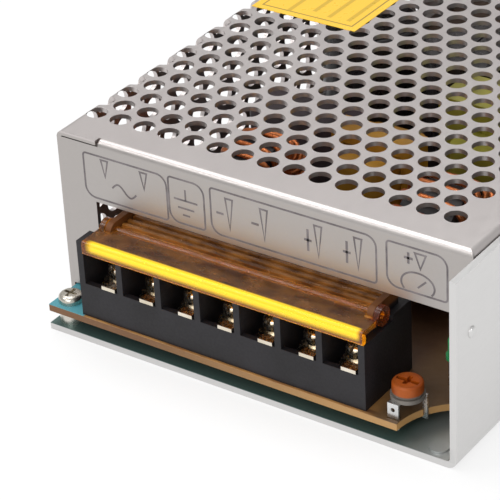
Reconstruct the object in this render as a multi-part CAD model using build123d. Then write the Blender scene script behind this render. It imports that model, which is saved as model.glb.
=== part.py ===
from build123d import *
import math
import os

os.makedirs("parts", exist_ok=True)

# Enclosed switching power supply for strip lights: a folded base with one side wall, a perforated
# folded cover, and a circuit board whose terminal block stands in the open front.
# Millimetres. X runs right across the front, Y to the back and Z up. The origin is the middle of
# the footprint, on the underside of the base.

# Overall size
LENGTH = 199.0
WIDTH = 98.0
HEIGHT = 42.0

# Sheet metal
BASE_T = 1.5
COVER_T = 1.0
LEDGE = 9.2
PLAY = 0.3
BASE_BEND = 2.2
COVER_BEND = 1.5
WALL_DROP = 0.9
LIP_H = 8.0

# Front face of the cover
FLANGE_H = 14.2
PILLAR_W = 8.8
NOTCH_X = 10.4
SLIT = 0.25
RIGHT_FLANGE_H = 7.0

# Perforation: round holes in a hexagonal pattern, rows across the unit
PITCH = 6.0
HOLE_D = 4.5
FIRST_ROW = 9.9
FIRST_HOLE = 2.8
HOLES_ACROSS = 15
LAST_ROW_MARGIN = 9.0
SIDE_ROWS = 5
REAR_ROWS = 3
REAR_ROW_DROP = 9.0

# Screws and standoffs
THREAD_R = 1.25
SHANK_R = 1.2
CLEAR_R = 1.6
HEAD_R = 2.6
HEAD_H = 1.8
STANDOFF_R = 2.6

# Circuit board
BOARD_Z = 4.4
BOARD_T = 1.6
BOARD_SIDE_GAP = 0.4
BOARD_BACK_GAP = 3.0
RELIEF_R = 14.0
RELIEF_X = 2.9

# Terminal block
WAYS = 7
WAY_PITCH = 9.5
BARRIER_T = 1.45
BLOCK_X = 9.9
BLOCK_FRONT = 8.7
BLOCK_DEPTH = 17.0
BARRIER_H = 14.8
FRONT_WALL_H = 7.8
FRONT_WALL_T = 1.3
REAR_WALL_H = 16.0
REAR_WALL_Y = 1.4
SEAT_H = 5.2
CONTACT_T = 1.2
CONTACT_W = 5.6
CLAMP_W = 5.2
CLAMP_T = 0.9
LOCK_T = 0.7
TERMINAL_HEAD_R = 2.4
TERMINAL_HEAD_H = 2.2
TERMINAL_SHANK_R = 1.45
TERMINAL_Y = -2.4
CLAMP_GAP = 0.1
CLAMP_LIFT = 2.5

# Hinged terminal guard
FLAP_X0 = 11.6
FLAP_X1 = 77.75
FLAP_T = 1.2
HINGE_Y = -1.3
HINGE_H = 17.4
BARREL_R = 0.9
PIN_R = 0.8
EAR_R = 2.1
EAR_T = 1.2
ARM_T = 1.4
ARM_R = 1.9
HINGE_GAP = 0.2
RAIL_Y0 = -9.2
RAIL_Y1 = -7.9
RAIL_GAP = 0.1
STRIP_DEPTH = 5.6

# Places on the board, measured from the left side and from the cover's front face
TRIMMER = (84.5, -4.2)
INDICATOR = (88.0, 7.6)

# Datums
LEFT = -WIDTH / 2
RIGHT = WIDTH / 2
FRONT = -LENGTH / 2
BACK = LENGTH / 2
FACE = FRONT + LEDGE
BOARD_TOP = BOARD_Z + BOARD_T
COVER_RIGHT = RIGHT - BASE_T - PLAY
FLANGE_Z = HEIGHT - FLANGE_H


def across(x):
    """X of a place measured from the left side."""
    return LEFT + x


def behind(y):
    """Y of a place measured back from the cover's front face."""
    return FACE + y


def block(x0, x1, y0, y1, z0, z1):
    """A box between the given limits."""
    return Pos((x0 + x1) / 2, (y0 + y1) / 2, (z0 + z1) / 2) * Box(x1 - x0, y1 - y0, z1 - z0)


def post(radius, x, y, z0, z1):
    """An upright cylinder."""
    return Pos(x, y, (z0 + z1) / 2) * Cylinder(radius, z1 - z0)


def bar_x(radius, x0, x1, y, z):
    """A cylinder that lies across the unit."""
    return Pos((x0 + x1) / 2, y, z) * Rot(0, 90, 0) * Cylinder(radius, x1 - x0)


def bar_y(radius, x, y0, y1, z):
    """A cylinder that lies front to back."""
    return Pos(x, (y0 + y1) / 2, z) * Rot(90, 0, 0) * Cylinder(radius, y1 - y0)


def folded_sheet(points, radius, thickness, side):
    """The cross-section of a folded sheet, from the line of one of its faces."""
    line = FilletPolyline(*points, radius=radius)
    return make_face(offset(line, amount=thickness, side=side, closed=True).edges())


def save(shape, name):
    export_step(shape, "parts/" + name + ".step")


# Base: bottom plate and right side wall from one sheet, with a low lip on the left for the cover's
# screws. The bottom plate runs forward of the cover as a bare ledge.
BASE_LEFT = LEFT + COVER_T + PLAY
BASE_BACK = BACK - COVER_T - PLAY
WALL_TOP = HEIGHT - WALL_DROP
BOTTOM_HOLES_X = 50.0
BOTTOM_HOLES_Y = 120.0
SIDE_HOLES_Y = 120.0
SIDE_HOLES_Z = 20.0
COLLAR_R = 2.4
COLLAR_H = 1.2
SIDE_SCREW_Z = 5.0
SIDE_SCREWS_Y = (-60.0, 60.0)
TOP_SCREW_Z = HEIGHT - 4.4
TOP_SCREWS_Y = (-62.0, 62.0)
LIP_Y = 2.5
DIMPLE_R = 2.0
DIMPLE_H = 0.4


def base_chassis():
    section = folded_sheet(
        [(BASE_LEFT, 0), (RIGHT, 0), (RIGHT, WALL_TOP)], BASE_BEND, BASE_T, Side.LEFT)
    shape = Pos(0, FRONT, 0) * extrude(Plane.XZ * section, amount=FRONT - BASE_BACK)
    shape += block(BASE_LEFT, BASE_LEFT + BASE_T, behind(LIP_Y), BASE_BACK - 1, BASE_T / 2, LIP_H)
    shape += post(DIMPLE_R, across(92.5), behind(-6.2), BASE_T / 2, BASE_T + DIMPLE_H)
    for x in (-BOTTOM_HOLES_X / 2, BOTTOM_HOLES_X / 2):
        for y in (-BOTTOM_HOLES_Y / 2, BOTTOM_HOLES_Y / 2):
            shape += post(COLLAR_R, x, y, BASE_T / 2, BASE_T + COLLAR_H)
            shape -= post(THREAD_R, x, y, -1, BASE_T + COLLAR_H + 1)
    for y in (-SIDE_HOLES_Y / 2, SIDE_HOLES_Y / 2):
        shape -= bar_x(THREAD_R, RIGHT - BASE_T - 1, RIGHT + 1, y, SIDE_HOLES_Z)
    for y in TOP_SCREWS_Y:
        shape -= bar_x(CLEAR_R, RIGHT - BASE_T - 1, RIGHT + 1, y, TOP_SCREW_Z)
    for y in SIDE_SCREWS_Y:
        shape -= bar_x(THREAD_R, BASE_LEFT - 1, BASE_LEFT + BASE_T + 1, y, SIDE_SCREW_Z)
    return shape


# Cover: one perforated sheet folded into the top, the left side, the front face with its pillar,
# the rear face and a short flange that hooks down inside the right side wall.
COVER_FOOT = PLAY
PILLAR_FOOT = BOARD_TOP + PLAY
ROW_STEP = PITCH * math.sin(math.radians(60))
ROW_COUNT = int((BACK - LAST_ROW_MARGIN - behind(FIRST_ROW)) / ROW_STEP) + 1


def hole_rows():
    """Y of each row of holes and its shift to the left: every second row is half a pitch over."""
    for row in range(ROW_COUNT):
        yield behind(FIRST_ROW) + row * ROW_STEP, PITCH / 2 * (row % 2)


def cover_shell():
    """The folded sheet before it is perforated."""
    outline = [
        (LEFT, COVER_FOOT), (LEFT, HEIGHT), (COVER_RIGHT, HEIGHT),
        (COVER_RIGHT, HEIGHT - RIGHT_FLANGE_H)]
    section = Plane.XZ * folded_sheet(outline, COVER_BEND, COVER_T, Side.RIGHT)
    shell = Pos(0, behind(COVER_BEND), 0) * extrude(section, amount=behind(COVER_BEND) - BACK)
    corner = Pos(0, FACE, 0) * extrude(section, amount=-COVER_BEND)
    corner &= block(LEFT, across(NOTCH_X - 0.6), FACE, BACK, HEIGHT - COVER_BEND, HEIGHT)
    fold_line = [(behind(2 * COVER_BEND), HEIGHT), (FACE, HEIGHT), (FACE, FLANGE_Z)]
    fold = Plane.YZ * folded_sheet(fold_line, COVER_BEND, COVER_T, Side.LEFT)
    front = Pos(across(NOTCH_X), 0, 0) * extrude(fold, amount=COVER_RIGHT - across(NOTCH_X))
    front -= corner_trim()
    face = block(LEFT, across(NOTCH_X), FACE, behind(COVER_T), FLANGE_Z, HEIGHT - COVER_T - SLIT)
    face += block(LEFT, across(PILLAR_W), FACE, behind(COVER_T), PILLAR_FOOT, FLANGE_Z)
    side_edge = block(LEFT, LEFT + COVER_T, FACE, behind(COVER_BEND), COVER_FOOT, HEIGHT - COVER_T - SLIT)
    rear = block(LEFT + COVER_T / 2, COVER_RIGHT, BACK - COVER_T, BACK, BASE_T, HEIGHT - COVER_T / 2)
    rear -= corner_trim()
    return shell + corner + front + face + side_edge + rear


def corner_trim():
    """What a square top right edge would have outside the rounded fold."""
    x = COVER_RIGHT - COVER_BEND
    z = HEIGHT - COVER_BEND
    edge = block(x, COVER_RIGHT + 1, FACE - 1, BACK + 1, z, HEIGHT + 1)
    return edge - Pos(x, 0, z) * Rot(90, 0, 0) * Cylinder(COVER_BEND, LENGTH + 10)


def perforation():
    """The punches: down through the top, across the left fold, and through the left and rear."""
    punches = []
    radius = HOLE_D / 2
    for y, shift in hole_rows():
        for i in range(HOLES_ACROSS):
            x = across(FIRST_HOLE + i * PITCH) - shift
            if x > LEFT + PITCH / 3:
                punches.append(post(radius, x, y, HEIGHT - 3 * COVER_T, HEIGHT + 1))
        if shift:
            diagonal = Pos(LEFT, y, HEIGHT) * Rot(0, -45, 0)
            punches.append(diagonal * Cylinder(radius, 4 * COVER_T))
        for k in range(1, SIDE_ROWS + 1):
            z = HEIGHT - k * PITCH + FIRST_HOLE - shift + COVER_T / 2
            punches.append(bar_x(radius, LEFT - 1, LEFT + 2 * COVER_T, y, z))
    for row in range(REAR_ROWS):
        z = HEIGHT - REAR_ROW_DROP - row * ROW_STEP
        for i in range(1, HOLES_ACROSS - 1):
            x = across(FIRST_HOLE + i * PITCH) - PITCH / 2 * (row % 2)
            punches.append(Pos(x, BACK, z) * Rot(90, 0, 0) * Cylinder(radius, 4 * COVER_T))
    return punches


def cover():
    shape = cover_shell() - perforation()
    for y in SIDE_SCREWS_Y:
        shape -= bar_x(CLEAR_R, LEFT - 1, LEFT + 2 * COVER_T, y, SIDE_SCREW_Z)
    for y in TOP_SCREWS_Y:
        shape -= bar_x(THREAD_R, COVER_RIGHT - 2 * COVER_T, COVER_RIGHT + 1, y, TOP_SCREW_Z)
    return shape


# Label: a bare sheet stuck on the top
LABEL_T = 0.1
LABEL_X = (2.0, 28.7)
LABEL_Y = (66.8, 156.0)


def label_sticker():
    return block(
        across(LABEL_X[0]), across(LABEL_X[1]), behind(LABEL_Y[0]), behind(LABEL_Y[1]),
        HEIGHT, HEIGHT + LABEL_T)


# Cover screws: two through the left side into the lip, two through the wall into the cover's flange
COVER_HEAD_H = 1.0
COVER_SCREW_REACH = COVER_T + PLAY + BASE_T + 0.2


def cover_screw(side, y):
    if side == "left":
        head = bar_x(HEAD_R, LEFT - COVER_HEAD_H, LEFT, y, SIDE_SCREW_Z)
        return head + bar_x(SHANK_R, LEFT - 0.1, LEFT + COVER_SCREW_REACH, y, SIDE_SCREW_Z)
    head = bar_x(HEAD_R, RIGHT, RIGHT + COVER_HEAD_H, y, TOP_SCREW_Z)
    return head + bar_x(SHANK_R, RIGHT - COVER_SCREW_REACH, RIGHT + 0.1, y, TOP_SCREW_Z)


# Circuit board on four standoffs. Its front right corner is cut back in an arc, and its left edge
# steps in behind the front to clear the base's lip.
BOARD_LEFT = LEFT + COVER_T + BOARD_SIDE_GAP
BOARD_STEP_X = BASE_LEFT + BASE_T + BOARD_SIDE_GAP
BOARD_RIGHT = RIGHT - BASE_T - BOARD_SIDE_GAP
BOARD_BACK = BACK - COVER_T - BOARD_BACK_GAP
BOARD_SCREWS = [
    (across(4.4), behind(-5.6)), (BOARD_RIGHT - 4.0, behind(24.0)),
    (across(5.6), BOARD_BACK - 5.0), (BOARD_RIGHT - 4.0, BOARD_BACK - 5.0)]
LEAD_R = 0.28
LEAD_STEP = 2.54
LEAD_PLACES = [(across(INDICATOR[0]) + side * LEAD_STEP / 2, behind(INDICATOR[1])) for side in (-1, 1)]
LEG_T = 0.4
DISC_R = 3.4
LEG_PLACES = [
    (across(TRIMMER[0]) - 1.0, behind(TRIMMER[1]) - DISC_R - 0.3, 2.4),
    (across(TRIMMER[0]) - 2.5, behind(TRIMMER[1]) + 2.2, 1.0),
    (across(TRIMMER[0]) + 2.5, behind(TRIMMER[1]) + 2.2, 1.0)]
TAIL_W = 1.2
TAIL_D = 0.8
TAIL_Y = 0.5
TAIL_OUT = 1.2
FIT = 0.05


def way_x(way):
    """X of the middle of a way of the terminal block."""
    return across(BLOCK_X + BARRIER_T / 2 + (way + 0.5) * WAY_PITCH)


def circuit_board():
    shape = block(BOARD_LEFT, BOARD_RIGHT, FRONT, BOARD_BACK, BOARD_Z, BOARD_TOP)
    shape -= post(RELIEF_R, BOARD_RIGHT + RELIEF_X, FRONT, BOARD_Z - 1, BOARD_TOP + 1)
    step_y = behind(LIP_Y) - BOARD_SIDE_GAP
    shape -= block(BOARD_LEFT - 1, BOARD_STEP_X, step_y, BACK, BOARD_Z - 1, BOARD_TOP + 1)
    for x, y in BOARD_SCREWS:
        shape -= post(CLEAR_R, x, y, BOARD_Z - 1, BOARD_TOP + 1)
    for way in range(WAYS):
        shape -= post(TAIL_W, way_x(way), behind(TAIL_Y), BOARD_Z - 1, BOARD_TOP + 1)
    for x, y in LEAD_PLACES:
        shape -= post(LEAD_R + 0.15, x, y, BOARD_Z - 1, BOARD_TOP + 1)
    for x, y, w in LEG_PLACES:
        shape -= block(x - w / 2 - 0.15, x + w / 2 + 0.15, y - LEG_T, y + LEG_T, BOARD_Z - 1, BOARD_TOP + 1)
    return shape


def board_standoff(x, y):
    return post(STANDOFF_R, x, y, BASE_T, BOARD_Z) - post(THREAD_R, x, y, BASE_T + 0.4, BOARD_Z + 1)


def board_screw(x, y):
    head = post(HEAD_R, x, y, BOARD_TOP, BOARD_TOP + HEAD_H)
    head = fillet(head.edges().group_by(Axis.Z)[-1], HEAD_H * 0.6)
    head -= block(x - 0.35, x + 0.35, y - 1.5, y + 1.5, BOARD_TOP + HEAD_H - 0.8, BOARD_TOP + HEAD_H + 1)
    head -= block(x - 1.5, x + 1.5, y - 0.35, y + 0.35, BOARD_TOP + HEAD_H - 0.8, BOARD_TOP + HEAD_H + 1)
    return head + post(SHANK_R, x, y, BASE_T + 0.8, BOARD_TOP + 0.1)


# Insulating sheet on the bottom plate, under the board
SHEET_T = 0.4


def insulation_sheet():
    shape = block(BASE_LEFT + BASE_T + PLAY, RIGHT - BASE_BEND - PLAY, behind(12.0), BASE_BACK - 2,
                  BASE_T, BASE_T + SHEET_T)
    for x, y in BOARD_SCREWS[1:]:
        shape -= post(STANDOFF_R + PLAY, x, y, 0, BOARD_Z)
    for x in (-BOTTOM_HOLES_X / 2, BOTTOM_HOLES_X / 2):
        for y in (-BOTTOM_HOLES_Y / 2, BOTTOM_HOLES_Y / 2):
            shape -= post(COLLAR_R + PLAY, x, y, 0, BOARD_Z)
    return shape


# Terminal block: a moulded barrier strip with a low front wall, a high back and two arms that
# carry the guard's hinge pins. The left end has a raised post.
BLOCK_W = WAYS * WAY_PITCH + BARRIER_T
BLOCK_Y0 = behind(-BLOCK_FRONT)
BLOCK_Y1 = BLOCK_Y0 + BLOCK_DEPTH
BARRIER_TOP = BOARD_TOP + BARRIER_H
SEAT_Z = BOARD_TOP + SEAT_H
CONTACT_TOP = SEAT_Z + CONTACT_T
CONTACT_Y0 = TERMINAL_Y - CONTACT_W / 2 + 0.2
CONTACT_Y1 = 1.2
HINGE_Z = BOARD_TOP + HINGE_H
REAR_TOP = BOARD_TOP + REAR_WALL_H
POST_H = 17.5
POST_Y1 = -4.2
ARM_X0 = (across(FLAP_X0 + EAR_T + HINGE_GAP), across(FLAP_X1 - EAR_T - HINGE_GAP - ARM_T))


def hinge_arm(x0):
    """A moulded arm that reaches forward from the back of the block round the hinge pin."""
    eye = bar_x(ARM_R, x0, x0 + ARM_T, behind(HINGE_Y), HINGE_Z)
    beam = block(x0, x0 + ARM_T, behind(HINGE_Y), behind(6.0), REAR_TOP - 0.6, HINGE_Z + ARM_R)
    beam = chamfer(beam.edges().filter_by(Axis.X).group_by(Axis.Z)[-1].sort_by(Axis.Y)[-1:], 1.2)
    under = block(x0, x0 + ARM_T, behind(HINGE_Y), behind(REAR_WALL_Y + 0.1), REAR_TOP - 0.7, REAR_TOP - 0.1)
    return eye + (beam - under)


def terminal_block():
    x0 = across(BLOCK_X)
    x1 = x0 + BLOCK_W
    shape = block(x0, x1, BLOCK_Y0, BLOCK_Y1, BOARD_TOP, SEAT_Z)
    shape += block(x0, x1, BLOCK_Y0, BLOCK_Y0 + FRONT_WALL_T, BOARD_TOP, BOARD_TOP + FRONT_WALL_H)
    shape += block(x0, x1, behind(REAR_WALL_Y), BLOCK_Y1, BOARD_TOP, REAR_TOP)
    for k in range(WAYS + 1):
        left = x0 + k * WAY_PITCH
        shape += block(left, left + BARRIER_T, BLOCK_Y0, behind(REAR_WALL_Y), BOARD_TOP, BARRIER_TOP)
    shape += block(x0, x0 + BARRIER_T, BLOCK_Y0, behind(POST_Y1), BOARD_TOP, BOARD_TOP + POST_H)
    for left in ARM_X0:
        shape += hinge_arm(left)
        shape -= bar_x(PIN_R + FIT, left - 1, left + ARM_T + 1, behind(HINGE_Y), HINGE_Z)
    for way in range(WAYS):
        x = way_x(way)
        shape -= post(TERMINAL_SHANK_R + 0.25, x, behind(TERMINAL_Y), BOARD_TOP + 0.8, SEAT_Z + 1)
        shape -= block(x - TAIL_W / 2 - FIT, x + TAIL_W / 2 + FIT, behind(TAIL_Y) - TAIL_D / 2 - FIT,
                       behind(TAIL_Y) + TAIL_D / 2 + FIT, BOARD_TOP - 1, SEAT_Z + 1)
    return shape


def terminal_contacts():
    """Seven contact bars with their solder tails, seated on the block's floor."""
    bars = []
    for way in range(WAYS):
        x = way_x(way)
        bar = block(x - CONTACT_W / 2, x + CONTACT_W / 2, behind(CONTACT_Y0), behind(CONTACT_Y1),
                    SEAT_Z, CONTACT_TOP)
        bar += block(x - TAIL_W / 2, x + TAIL_W / 2, behind(TAIL_Y) - TAIL_D / 2,
                     behind(TAIL_Y) + TAIL_D / 2, BOARD_Z - TAIL_OUT, SEAT_Z + 0.2)
        bar -= post(TERMINAL_SHANK_R + FIT, x, behind(TERMINAL_Y), SEAT_Z - 1, CONTACT_TOP + 1)
        bars.append(bar)
    return Compound(children=bars)


# Clamps: each screw carries a square plate and a lock washer, and they rise together
CLAMP_Z = CONTACT_TOP + CLAMP_GAP
HEAD_Z = CLAMP_Z + CLAMP_T + LOCK_T


def clamp_plate(way):
    x = way_x(way)
    half = CLAMP_W / 2
    plate = block(x - half, x + half, behind(TERMINAL_Y) - half, behind(TERMINAL_Y) + half,
                  CLAMP_Z, CLAMP_Z + CLAMP_T)
    plate = chamfer(plate.edges().filter_by(Axis.Z), 0.5)
    plate += post(TERMINAL_HEAD_R * 0.92, x, behind(TERMINAL_Y), CLAMP_Z + CLAMP_T / 2, HEAD_Z)
    return plate - post(TERMINAL_SHANK_R + FIT, x, behind(TERMINAL_Y), CLAMP_Z - 1, HEAD_Z + 1)


def terminal_screw(way):
    x = way_x(way)
    y = behind(TERMINAL_Y)
    top = HEAD_Z + TERMINAL_HEAD_H
    head = post(TERMINAL_HEAD_R, x, y, HEAD_Z, top)
    head = fillet(head.edges().group_by(Axis.Z)[-1], 0.7)
    head -= block(x - 0.4, x + 0.4, y - 3, y + 3, top - 1.0, top + 1)
    head -= block(x - 1.5, x + 1.5, y - 0.4, y + 0.4, top - 1.0, top + 1)
    return head + post(TERMINAL_SHANK_R, x, y, BOARD_TOP + 1.4, HEAD_Z + 0.2)


# Guard: a hinged flap with a thick rounded front rail, and the fixed ribbed strip behind it
def terminal_flap():
    x0 = across(FLAP_X0)
    x1 = across(FLAP_X1)
    y_hinge = behind(HINGE_Y)
    low = HINGE_Z - FLAP_T / 2
    high = HINGE_Z + FLAP_T / 2
    shape = block(x0, x1, behind(RAIL_Y0) + 0.4, y_hinge, low, high)
    rail = block(x0, x1, behind(RAIL_Y0), behind(RAIL_Y1), BARRIER_TOP + RAIL_GAP, high)
    rail = fillet(rail.edges().filter_by(Axis.X), 0.6)
    shape += rail
    shape += bar_x(BARREL_R, x0, x1, y_hinge, HINGE_Z)
    for arm in ARM_X0:
        clear = (arm - HINGE_GAP, arm + ARM_T + HINGE_GAP)
        shape -= block(clear[0], clear[1], y_hinge - ARM_R - PLAY, y_hinge + 3, low - 3, high + 3)
        shape += bar_x(PIN_R, clear[0] - 0.1, clear[1] + 0.1, y_hinge, HINGE_Z)
    shape += bar_x(EAR_R, x0, x0 + EAR_T, y_hinge, HINGE_Z)
    shape += bar_x(EAR_R, x1 - EAR_T, x1, y_hinge, HINGE_Z)
    return shape


def guard_strip():
    """The fixed part of the guard, clipped on the back of the block, with two moulded ribs."""
    x0 = ARM_X0[0] + ARM_T + HINGE_GAP
    x1 = ARM_X0[1] - HINGE_GAP
    y0 = behind(HINGE_Y) + BARREL_R + PLAY
    high = HINGE_Z + FLAP_T / 2
    shape = block(x0, x1, y0, y0 + STRIP_DEPTH, REAR_TOP, high - 0.4)
    for k in range(3):
        y = y0 + 0.5 + k * 1.9
        shape += block(x0, x1, y, y + 0.8, REAR_TOP + 0.5, high)
    return shape


# Trimmer: a round carbon disc on three legs with a slotted rotor
TRIMMER_LEG_H = 3.4
DISC_T = 0.8
ROTOR_R = 3.1
ROTOR_H = 2.5
ROTOR_GAP = 0.15
AXLE_R = 0.9


def trimmer_disc():
    x, y = across(TRIMMER[0]), behind(TRIMMER[1])
    z0 = BOARD_TOP + TRIMMER_LEG_H
    shape = post(DISC_R, x, y, z0, z0 + DISC_T)
    return shape - post(AXLE_R + FIT, x, y, z0 - 1, z0 + DISC_T + 1)


def trimmer_legs():
    """A wide pierced front leg with a tongue under the disc, and two narrow rear legs."""
    top = BOARD_TOP + TRIMMER_LEG_H
    legs = []
    for number, (x, y, w) in enumerate(LEG_PLACES):
        leg = block(x - w / 2, x + w / 2, y - LEG_T / 2, y + LEG_T / 2, BOARD_Z - 0.6, top)
        if number == 0:
            leg += block(x - w / 2, x + w / 2, y - LEG_T / 2, y + 2.2, top - LEG_T, top)
            leg -= Pos(x, y, BOARD_TOP + 2.0) * Rot(90, 0, 0) * Cylinder(0.45, 3)
        legs.append(leg)
    return Compound(children=legs)


def trimmer_rotor():
    x, y = across(TRIMMER[0]), behind(TRIMMER[1])
    z0 = BOARD_TOP + TRIMMER_LEG_H + DISC_T + ROTOR_GAP
    top = z0 + ROTOR_H
    shape = post(ROTOR_R, x, y, z0, top)
    shape = fillet(shape.edges().group_by(Axis.Z)[-1], 0.5)
    shape -= block(x - 2.4, x + 2.4, y - 0.45, y + 0.45, top - 1.2, top + 1)
    shape -= block(x - 0.45, x + 0.45, y - 1.4, y + 1.4, top - 1.2, top + 1)
    return shape + post(AXLE_R, x, y, BOARD_TOP + TRIMMER_LEG_H - 0.6, z0 + 0.2)


# Indicator lamp: a small domed lamp high on two wires
LAMP_Z = 12.3
LAMP_R = 1.5
LAMP_RIM_R = 1.9
LAMP_H = 5.3


def indicator_lens():
    x, y = across(INDICATOR[0]), behind(INDICATOR[1])
    shape = post(LAMP_RIM_R, x, y, LAMP_Z, LAMP_Z + 0.9)
    shape += post(LAMP_R, x, y, LAMP_Z + 0.5, LAMP_Z + LAMP_H - LAMP_R)
    return shape + Pos(x, y, LAMP_Z + LAMP_H - LAMP_R) * Sphere(LAMP_R)


def indicator_leads():
    leads = [post(LEAD_R, x, y, BOARD_Z - 0.8, LAMP_Z) for x, y in LEAD_PLACES]
    return Compound(children=leads)


# Wound parts and capacitors on the board, seen through the perforation
def toroid(radius, hole, width, x, y, z):
    """A ring that stands on edge, with its axis across the unit."""
    return bar_x(radius, x - width / 2, x + width / 2, y, z) - bar_x(hole, x - width, x + width, y, z)


def wound_ring(radius, hole, width, wall, x, y, z):
    """The wire layer round a ring core, as a rounded shell."""
    outer = toroid(radius + wall, hole - wall, width + 2 * wall, x, y, z)
    outer = fillet(outer.edges().filter_by(GeomType.CIRCLE), wall * 1.2)
    return outer - toroid(radius + FIT, hole - FIT, width + 2 * FIT, x, y, z)


def can_capacitor(x, y, radius, height):
    """An upright can with a rolled neck near the foot and a scored top."""
    shape = post(radius, x, y, BOARD_TOP, BOARD_TOP + height)
    shape = fillet(shape.edges().group_by(Axis.Z)[-1], 0.8)
    neck = Pos(x, y, BOARD_TOP + 2.2) * Torus(radius + 0.3, 0.8)
    shape -= neck
    top = BOARD_TOP + height
    shape -= block(x - radius * 0.6, x + radius * 0.6, y - 0.25, y + 0.25, top - 0.3, top + 1)
    shape -= block(x - 0.25, x + 0.25, y - radius * 0.6, y + radius * 0.6, top - 0.3, top + 1)
    return shape


def transformer_core(x, y, width, depth, z0, z1, leg):
    """A ferrite core of two E halves: a closed frame with a middle leg."""
    frame = block(x - width / 2, x + width / 2, y - leg / 2, y + leg / 2, z0, z1)
    window = (width - 2 * leg * 0.5 - leg) / 2
    for side in (-1, 1):
        centre = x + side * (leg / 2 + window / 2)
        frame -= block(centre - window / 2, centre + window / 2, y - depth, y + depth,
                       z0 + leg * 0.5, z1 - leg * 0.5)
    return frame


def transformer_coil(x, y, width, depth, z0, z1, leg):
    """The taped winding round the middle leg of the core."""
    window = (width - 2 * leg * 0.5 - leg) / 2
    reach = leg / 2 + window - PLAY
    shape = block(x - reach, x + reach, y - depth / 2, y + depth / 2,
                  z0 + leg * 0.5 + PLAY, z1 - leg * 0.5 - PLAY)
    shape = fillet(shape.edges().filter_by(Axis.Z), 2.0)
    return shape - block(x - leg / 2 - FIT, x + leg / 2 + FIT, y - leg / 2 - FIT, y + leg / 2 + FIT,
                         z0, z1)


def disc_capacitor(x, y, radius, thickness, lift):
    """A dipped disc that stands on its two wires."""
    z = BOARD_TOP + lift + radius
    shape = bar_y(radius, x, y - thickness / 2, y + thickness / 2, z)
    shape = fillet(shape.edges().filter_by(GeomType.CIRCLE), thickness * 0.4)
    for side in (-1, 1):
        shape += post(LEAD_R, x + side * LEAD_STEP, y, BOARD_TOP, z)
    return shape


def box_part(x, y, width, depth, height, soft):
    """A moulded box that stands on the board."""
    shape = block(x - width / 2, x + width / 2, y - depth / 2, y + depth / 2,
                  BOARD_TOP, BOARD_TOP + height)
    return fillet(shape.edges().filter_by(Axis.Z), soft)


PART_LIFT = 0.3
MAIN_CORE = dict(x=across(70.0), y=behind(66.0), width=33.0, depth=27.0,
                 z0=BOARD_TOP + PART_LIFT, z1=BOARD_TOP + 30.0, leg=12.0)
AUX_CORE = dict(x=across(45.0), y=behind(50.0), width=20.0, depth=18.0,
                z0=BOARD_TOP + PART_LIFT, z1=BOARD_TOP + 24.0, leg=6.0)


RINGS = [
    ("line_choke", dict(radius=10.0, hole=5.5, width=10.0), 1.5, 23.0, 37.0),
    ("output_choke", dict(radius=11.0, hole=6.0, width=12.0), 2.0, 69.0, 35.0)]


def build_internals():
    """Every part of the board that only shows through the perforation, by node name."""
    parts = {}
    parts["main_transformer_core"] = transformer_core(**MAIN_CORE)
    parts["main_transformer_coil"] = transformer_coil(**MAIN_CORE)
    parts["drive_transformer_core"] = transformer_core(**AUX_CORE)
    parts["drive_transformer_coil"] = transformer_coil(**AUX_CORE)
    for name, ring, wall, x, y in RINGS:
        place = dict(x=across(x), y=behind(y), z=BOARD_TOP + PART_LIFT + ring["radius"] + wall)
        parts[name + "_core"] = toroid(**ring, **place)
        parts[name + "_coil"] = wound_ring(**ring, **place, wall=wall)
    for k, x in enumerate((22.0, 48.0)):
        parts["bulk_capacitor_%d" % (k + 1)] = can_capacitor(across(x), behind(84.0), 11.0, 30.0)
    for k, y in enumerate((16.5, 30.0, 43.5)):
        parts["output_capacitor_%d" % (k + 1)] = can_capacitor(across(84.0), behind(y + 76.0), 5.0, 20.0)
    parts["line_capacitor"] = box_part(across(20.0), behind(61.0), 24.0, 12.0, 18.0, 1.0)
    parts["safety_capacitor"] = disc_capacitor(across(44.0), behind(32.0), 5.0, 4.0, 3.0)
    parts["fuse"] = bar_x(2.6, across(16.0), across(36.0), behind(16.0), BOARD_TOP + 3.4)
    parts["bridge_rectifier"] = box_part(across(22.0), behind(108.0), 20.0, 6.0, 16.0, 0.8)
    parts["control_chip"] = box_part(across(60.0), behind(120.0), 20.0, 7.0, 4.0, 0.3)
    return parts


# Write every node
save(base_chassis(), "base_chassis")
save(cover(), "cover")
save(label_sticker(), "label_sticker")
save(circuit_board(), "circuit_board")
save(insulation_sheet(), "insulation_sheet")
for number, (x, y) in enumerate(BOARD_SCREWS, start=1):
    save(board_standoff(x, y), "board_standoff_%d" % number)
    save(board_screw(x, y), "board_screw_%d" % number)
number = 0
for side, places in (("left", SIDE_SCREWS_Y), ("right", TOP_SCREWS_Y)):
    for y in places:
        number += 1
        save(cover_screw(side, y), "cover_screw_%d" % number)
save(terminal_block(), "terminal_block")
save(terminal_contacts(), "terminal_contacts")
for way in range(WAYS):
    save(clamp_plate(way), "clamp_plate_%d" % (way + 1))
    save(terminal_screw(way), "terminal_screw_%d" % (way + 1))
save(terminal_flap(), "terminal_flap")
save(guard_strip(), "guard_strip")
save(trimmer_disc(), "trimmer_disc")
save(trimmer_legs(), "trimmer_legs")
save(trimmer_rotor(), "trimmer_rotor")
save(indicator_lens(), "indicator_lens")
save(indicator_leads(), "indicator_leads")
for node, shape in build_internals().items():
    save(shape, node)
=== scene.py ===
import math

import bpy
import numpy as np
from mathutils import Matrix, Vector


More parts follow.
